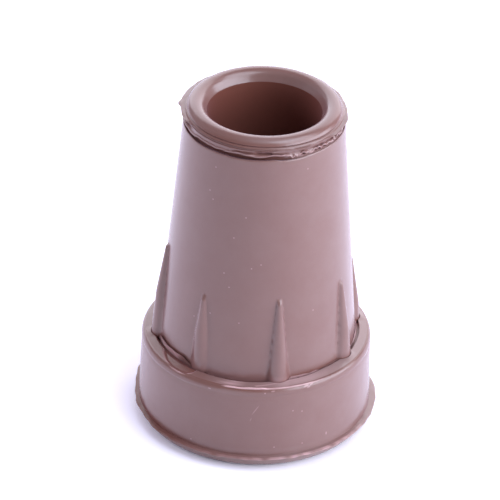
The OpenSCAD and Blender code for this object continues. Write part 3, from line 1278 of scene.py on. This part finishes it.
@dataclass
class PatinaAndPaintedLight:
    """Where the rubber is dusted with bloom, rubbed or scuffed, and where light and shade are
    painted on it as more or less bloom and wear.

    Bloom and shine are 1 on the plain skin, and wear is 0. Sizes are in millimetres, angles in
    degrees.
    """

    tip: RubberTip
    skin: Skin
    around: np.ndarray = field(init=False)
    layers: dict[Layer, np.ndarray] = field(init=False)
    # the even coats: what is set in which zones, by bearing; the bore has no bloom and the shine is
    # less on the left,
    # and the rest is painted light and shade: bloom paler to the right and darker on the left on
    # the barrel, the foot's wall, the ledge and the lower seam, and less bloom in the shaded groove
    # and neck
    coats: tuple[tuple[Layer, tuple[Zone, ...], Knots], ...] = (
        (Layer.SHINE, (Zone.LOWER_SEAM,), (
            (-180, 1), (-130, 1), (-105, 0.4), (-60, 0.4), (-40, 1),
        )),
        (Layer.SHINE, (Zone.LEDGE,), (
            (-95, 1), (-83, 0.7), (-63, 0.8), (-45, 0.85), (-35, 1),
        )),
        (Layer.BLOOM, (Zone.BORE,), ((0, 0),)),
        # painted light: the barrel and the foot's wall are paler to the right, under the windows
        (Layer.BLOOM, (Zone.BARREL, Zone.WALL), (
            (-60, 1), (-45, 0.85), (-20, 0.88), (5, 1.05), (25, 1.3), (60, 1.35), (100, 1),
        )),
        # painted light and shade: the ledge is dark on the left and pale in front and to the right
        (Layer.BLOOM, (Zone.LEDGE,), (
            (-90, 0), (-60, 0.3), (-43, 1.2), (-25, 2.1), (0, 2.4), (25, 2.6), (60, 2), (80, 1.2),
        )),
        # painted light and shade: the lower seam is dark on the left and pale in front
        (Layer.BLOOM, (Zone.LOWER_SEAM,), ((-75, 0), (-45, 0.8), (0, 1.8), (60, 1.2))),
        # painted shade: the groove is darker on the left
        (Layer.BLOOM, (Zone.GROOVE,), ((-50, 0), (-30, 0.5))),
        # painted shade: less bloom in the neck's crease
        (Layer.BLOOM, (Zone.NECK,), ((0, 0.5),)),
    )
    # painted light: bloom on the sole's rounded edge, paler in front and to the right, where the
    # floor lights it
    sole_edge_light: Knots = ((-70, 1), (-40, 2), (0, 2.8), (60, 2.8))
    # painted light and shade at the barrel's foot: the crease in front is lightened with bloom and
    # wear on the groove's floor; up the barrel, less bloom is painted shade, whole for foot_plain,
    # fading over foot_fade, reaching higher on the left in the shade, and lighter in front
    crease: Stretch = Stretch(-22, 40, 1, blunt=2)
    groove_light_bloom: float = 1.6
    groove_light_wear: float = 0.22
    foot_shade_bloom: float = 0.35
    foot_light_lift: float = 0.5
    foot_light_wear: float = 0.16
    foot_plain: float = 0.25
    foot_fade: float = 1.2
    foot_shade: Stretch = Stretch(-74, 22, 0.9, blunt=2)
    # painted shade: less bloom on the left of the collar's bead; and a painted highlight along the
    # folded lip's edge, broken by noise, paler in a stretch where the lip is torn
    bead_shade: Stretch = Stretch(-70, 65, 0.65, blunt=2)
    lip_highlight: float = 0.12
    lip_torn_highlight: Stretch = Stretch(30, 40, 0.25)
    lip_waves: tuple[int, ...] = (37, 61, 83, 113)
    # the rolled rim's bloom is painted light and shade: by how far up its flank a point is, from 0
    # at the side to 1 on the crest, darker on the crest; less outside, with a darker stretch on the
    # left as painted shade and a paler
    # stretch in front as a painted highlight: middle and half width of each
    rim_light_knots: Knots = ((0, 1.15), (0.8, 1.15), (0.95, 0.65))
    rim_outside_shade: float = 0.7
    rim_light_patches: tuple[tuple[Stretch, float, float], ...] = (
        (Stretch(-52, 50, -0.6), 0.4, 0.35),
        (Stretch(-6, 34, 1.7), 0.8, 0.3),
    )
    # painted highlight on the lower seam's edge: how pale it is, from which share on, and how it
    # breaks up
    frayed: Knots = ((-60, 0), (-30, 0.15), (-5, 0.4), (12, 0.7), (40, 0.4), (60, 0))
    seam_highlight_from: float = 0.6
    seam_highlight_plain: float = 0.7
    seam_highlight_swing: float = 0.3
    seam_highlight_waves: tuple[int, ...] = (29, 43, 61)
    # where the shoulder's top has less bloom, bared by the knife and painted shade on its upward
    # face: bearing, and the height above which it is darker
    bared: Knots = (
        (-93.4, 15.3), (-85.4, 14.6), (-75.4, 14.2), (-53.4, 14.2), (-39.4, 14.5), (-32.4, 14.7),
        (-28.4, 15), (-10, 15), (-8, 15.3),
    )
    bared_fade: float = 0.15
    bared_share: float = 0.55
    # the knife's cut: bloom inside it, its pale rim, and a painted glint where the rim catches the
    # light
    cut_bloom: float = 0.12
    cut_rim_wear: float = 0.55
    cut_rim_w: float = 0.22
    cut_glint: Stretch = Stretch(-53, 6, 0.4)
    # the burr's height at which its ridge is wholly pale
    burr_pale_h: float = 0.09
    scuffs: tuple[Scuff, ...] = (
        Scuff(12, 30, 18, 1.4, 0.32),
        Scuff(-26, 9, 18.25, 0.45, 0.5),
        Scuff(-31, 6, 18.85, 0.45, 0.3),
        Scuff(-24, 8, 17.7, 0.6, 0.35),
    )
    # fine torn line on the ledge: bearing and radius, its half width and how pale it is
    torn_line: Knots = (
        (-12.6, 18.38), (-1.4, 17.92), (7.8, 17.56), (16.5, 17.38), (28.5, 16.99), (37.4, 16.99),
    )
    torn_w: float = 0.18
    torn_wear: float = 0.5
    pale_flash: tuple[Stretch, ...] = stretches(
        (13, 16, 0.6, 0, 3), (-72.5, 14, 0.5, 0, 3), (80, 25, 0.6, 0, 2)
    )
    flash_crest: float = 0.1

    def __post_init__(self) -> None:
        """Start with plain skin, and lay the even coats on it."""
        self.around = angle_from(self.skin.bearings, 0.0)
        self.layers = {layer: np.ones_like(self.around) for layer in Layer}
        self.worn[:] = 0.0
        for layer, zones, knots in self.coats:
            here = self.skin.at(*zones)
            self.layers[layer][here] = follow(knots, self.around[here])

    @property
    def bloom(self) -> np.ndarray:
        """Bloom on each point."""
        return self.layers[Layer.BLOOM]

    @property
    def worn(self) -> np.ndarray:
        """Wear of each point."""
        return self.layers[Layer.WORN]

    def wear(self, here: np.ndarray, values: np.ndarray) -> None:
        """Wear some points at least this far.

        Args:
            here: Mask of the points.
            values: How far each point of the skin is worn.
        """
        self.worn[here] = np.maximum(self.worn, values)[here]

    def shade_and_light_foot(self) -> None:
        """Paint shade at the barrel's foot, lighten the crease in front as painted light, and paint
        light on the sole's rounded edge.
        """
        dusted = self.crease.push(self.around)
        groove, barrel = self.skin.at(Zone.GROOVE), self.skin.at(Zone.BARREL)
        # painted light: the crease in front is lightened with bloom and pale wear
        self.bloom[groove] += self.groove_light_bloom * dusted[groove]
        self.worn[groove] = self.groove_light_wear * dusted[groove]
        # painted shade: less bloom at the barrel's foot, less of it in front and reaching higher on
        # the left
        low = self.foot_shade.push(self.around)
        above = self.skin.heights - self.tip.foot_h - self.foot_plain - low
        clear_of_shade = unit(above / (self.foot_fade - low))
        foot = self.foot_shade_bloom + self.foot_light_lift * dusted
        self.bloom[barrel] *= (foot + (1.0 - foot) * clear_of_shade)[barrel]
        self.worn[barrel] = (self.foot_light_wear * dusted * (1.0 - clear_of_shade))[barrel]
        # painted light on the sole's rounded edge
        edge_r = self.tip.foot_r - self.tip.sole_round_r
        edge = self.skin.at(Zone.SOLE) & (self.skin.radii > edge_r)
        self.bloom[edge] = follow(self.sole_edge_light, self.around[edge])

    def dress_collar(self) -> None:
        """Paint light and shade as bloom and wear on the rolled rim, the second bead, the neck and
        the folded lip.
        """
        tip, skin, around = self.tip, self.skin, self.around
        neck, bead = skin.at(Zone.NECK), skin.at(Zone.UPPER_SEAM, Zone.BEAD)
        # painted light: the neck under the lip is paler on the right, where the nibs stand
        self.bloom[neck] += tip.nibs_at.push(around[neck])
        # painted shade: less bloom on the left of the bead
        self.bloom[bead] = 1.0 - self.bead_shade.push(around[bead])
        # painted light and shade on the rim: by height on its flank, and in stretches outside
        rim = skin.at(Zone.RIM)
        flank = unit((skin.heights - tip.rim_z) / tip.rim_r)
        self.bloom[rim] = follow(self.rim_light_knots, flank[rim])
        outside = np.full_like(around, self.rim_outside_shade)
        for patch, middle, half in self.rim_light_patches:
            outside += patch.push(around) * bump(flank - middle, half)
        outer = rim & (skin.radii > tip.rim_mid_r)
        self.bloom[outer] = outside[outer]
        # painted highlight along the lip's edge, broken by noise, paler on the right where it is
        # torn
        lip = skin.at(Zone.FOLDED_LIP) & (skin.shares == 1.0)
        patchy = unit(ragged(around[lip], tip.folded_lip.seed, self.lip_waves))
        self.worn[lip] = self.lip_highlight + self.lip_torn_highlight.push(around[lip]) * patchy

    def light_and_wear_edges(self) -> None:
        """Paint a highlight on the lower seam's edge, and bare what the trimming knife touched,
        with painted shade on the shoulder's top and a painted glint on the cut's rim.
        """
        tip, skin, around = self.tip, self.skin, self.around
        # painted highlight on the lower seam's edge, broken by noise
        seam = skin.at(Zone.LOWER_SEAM) & (skin.shares > self.seam_highlight_from)
        waves = ragged(around[seam], tip.lower_seam.seed, self.seam_highlight_waves)
        broken = unit(self.seam_highlight_plain + self.seam_highlight_swing * waves)
        self.worn[seam] = follow(self.frayed, around[seam]) * broken
        # less bloom on the shoulder's top: bared by the knife, and painted shade
        shoulder = skin.at(Zone.SHOULDER, Zone.BURR)
        above = skin.heights[shoulder] - follow(self.bared, around[shoulder])
        self.bloom[shoulder] *= 1.0 - self.bared_share * unit(above / self.bared_fade)
        top = skin.at(Zone.SHOULDER, Zone.BURR, Zone.LEDGE)
        cut = tip.cut_share(skin)
        self.bloom[top & (cut > 0.0)] = self.cut_bloom
        # the cut's pale rim, with a painted glint on its low side
        pale_rim_and_glint = self.cut_rim_wear + self.cut_glint.push(around)
        self.worn[top] = (pale_rim_and_glint * bump(cut, self.cut_rim_w))[top]
        ridge = skin.at(Zone.BURR) & (skin.shares > 0.0)
        self.worn[ridge] = unit(tip.burr.reach(around[ridge], 0.0) / self.burr_pale_h)

    def wear_ledge(self) -> None:
        """Scuff the ledge, draw its torn line, and pale the crest of the groove's flash."""
        skin, around = self.skin, self.around
        ledge = skin.at(Zone.LEDGE)
        for scuff in self.scuffs:
            self.wear(ledge, scuff.share(skin))
        near = bump(skin.radii - follow(self.torn_line, around), self.torn_w)
        on_line = (around > self.torn_line[0][0]) & (around < self.torn_line[-1][0])
        self.wear(ledge & on_line, self.torn_wear * near)
        crest = skin.at(Zone.GROOVE_FLASH) & (skin.heights > self.tip.foot_h - self.flash_crest)
        for stretch in self.pale_flash:
            self.wear(crest, stretch.push(around))

    def paint(self) -> dict[Layer, np.ndarray]:
        """Work out each point's bloom, wear and shine, with painted light and shade among them.

        Returns:
            Values of each attribute.
        """
        self.shade_and_light_foot()
        self.dress_collar()
        self.light_and_wear_edges()
        self.wear_ledge()
        return self.layers


@dataclass(frozen=True)
class Softbox:
    """A soft rectangular lamp that points at the tip. Sizes are in metres."""

    name: str
    bearing: float
    height: float
    width: float
    tall: float
    watts: float
    colour: str
    glossy: bool = True
    distance: float = 0.9

    def build(self, target: Vector) -> bpy.types.Object:
        """Make the lamp.

        Args:
            target: Point that it faces.

        Returns:
            The lamp.
        """
        data = bpy.data.lights.new(self.name, "AREA")
        data.shape = "RECTANGLE"
        data.size = self.width
        data.size_y = self.tall
        data.energy = self.watts
        data.color = linear_rgba(self.colour)[:3]
        lamp = bpy.data.objects.new(self.name, data)
        bpy.context.scene.collection.objects.link(lamp)
        away = bearing_vector(self.bearing, self.height)
        lamp.location = target + away * self.distance
        lamp.rotation_mode = "QUATERNION"
        lamp.rotation_quaternion = away.to_track_quat("Z", "Y")
        lamp.visible_glossy = self.glossy
        return lamp


@dataclass
class Studio:
    """White paper floor, soft lamps and the camera. Lengths are in metres unless named."""

    floor_side: float = 6.0
    world_colour: str = "#e9eaf6"
    world_strength: float = 0.05
    wall_colour: str = "#f3f2ff"
    wall_strength: float = 0.7
    camera_bearing: float = -13.36
    camera_height: float = 32.137
    camera_distance: float = 0.7782
    camera_roll: float = -2.126
    lens_mm: float = 335.07
    sensor_mm: float = 36.0
    clip_start: float = 0.05
    clip_end: float = 20.0
    aim: tuple[float, float, float] = (-0.00153, 0.00037, 0.03064)
    lamps: tuple[Softbox, ...] = (
        Softbox("window_low", 55.0, 15.0, 1.35, 0.416, 10.1, "#e9efff"),
        Softbox("window_high", 47.0, 50.0, 0.8, 0.69, 7.0, "#e9efff"),
        Softbox("side_left", -116.4, 20.0, 0.866, 0.416, 6.4, "#ececff", glossy=False),
        Softbox("back_wall", 162.0, 28.5, 1.5, 0.878, 10.0, "#f6f5ff"),
    )

    def build_floor(self, paper: bpy.types.Material) -> None:
        """Lay the floor under the tip.

        Args:
            paper: Its material.
        """
        bpy.ops.object.select_all(action="DESELECT")
        bpy.ops.mesh.primitive_plane_add(size=self.floor_side)
        floor = bpy.context.active_object
        floor.name = "paper_floor"
        floor.data.materials.append(paper)
        LOG.info("paper_floor")

    def build_world(self) -> None:
        """Fill the room with faint even light, and show it pale in reflections."""
        world = bpy.data.worlds.new("room")
        world.use_nodes = True
        tree = world.node_tree
        tree.nodes.clear()
        ends = [seen_directly(tree)]
        for colour, strength in (
            (self.world_colour, self.world_strength),
            (self.wall_colour, self.wall_strength),
        ):
            even = {"Color": linear_rgba(colour), "Strength": strength}
            ends.append(add_node(tree, "Background", even).outputs[0])
        mix = add_node(tree, "MixShader", dict(enumerate(ends)))
        add_node(tree, "OutputWorld", {"Surface": mix.outputs[0]})
        bpy.context.scene.world = world

    def build_camera(self) -> None:
        """Set the camera at its angle and make it the scene's camera."""
        data = bpy.data.cameras.new("camera")
        data.lens = self.lens_mm
        data.sensor_width = self.sensor_mm
        data.clip_start = self.clip_start
        data.clip_end = self.clip_end
        camera = bpy.data.objects.new("camera", data)
        bpy.context.scene.collection.objects.link(camera)
        back = bearing_vector(self.camera_bearing, self.camera_height)
        turn = back.to_track_quat("Z", "Y").to_matrix().to_4x4()
        roll = Matrix.Rotation(math.radians(-self.camera_roll), 4, "Z")
        place = Matrix.Translation(Vector(self.aim) + back * self.camera_distance)
        camera.matrix_world = place @ turn @ roll
        bpy.context.scene.camera = camera

    def build(self) -> None:
        """Set up the whole studio."""
        self.build_floor(WhitePaper().build())
        self.build_world()
        target = Vector(self.aim)
        for lamp in self.lamps:
            lamp.build(target)
            LOG.info("lamp %s", lamp.name)
        self.build_camera()
        bpy.context.scene.view_settings.view_transform = "Standard"


def socket_mount() -> dict:
    """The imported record's mount for the shaft."""
    return next(m for m in frame["record"]["mounts"] if m["kind"] == "bore")


def main() -> None:
    """Build the tip and the studio."""
    logging.basicConfig(level=logging.INFO)
    low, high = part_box(TIP_NODE)
    dims = socket_mount()["dims"]
    tip = RubberTip(
        tip_h=(high[2] - low[2]) / MM, bore_r=dims["r_mm"], bore_depth=dims["length_mm"]
    )
    tip.build(MouldedRubber().build(tip.placed_marks()))
    Studio().build()


if __name__ == "__main__":
    main()
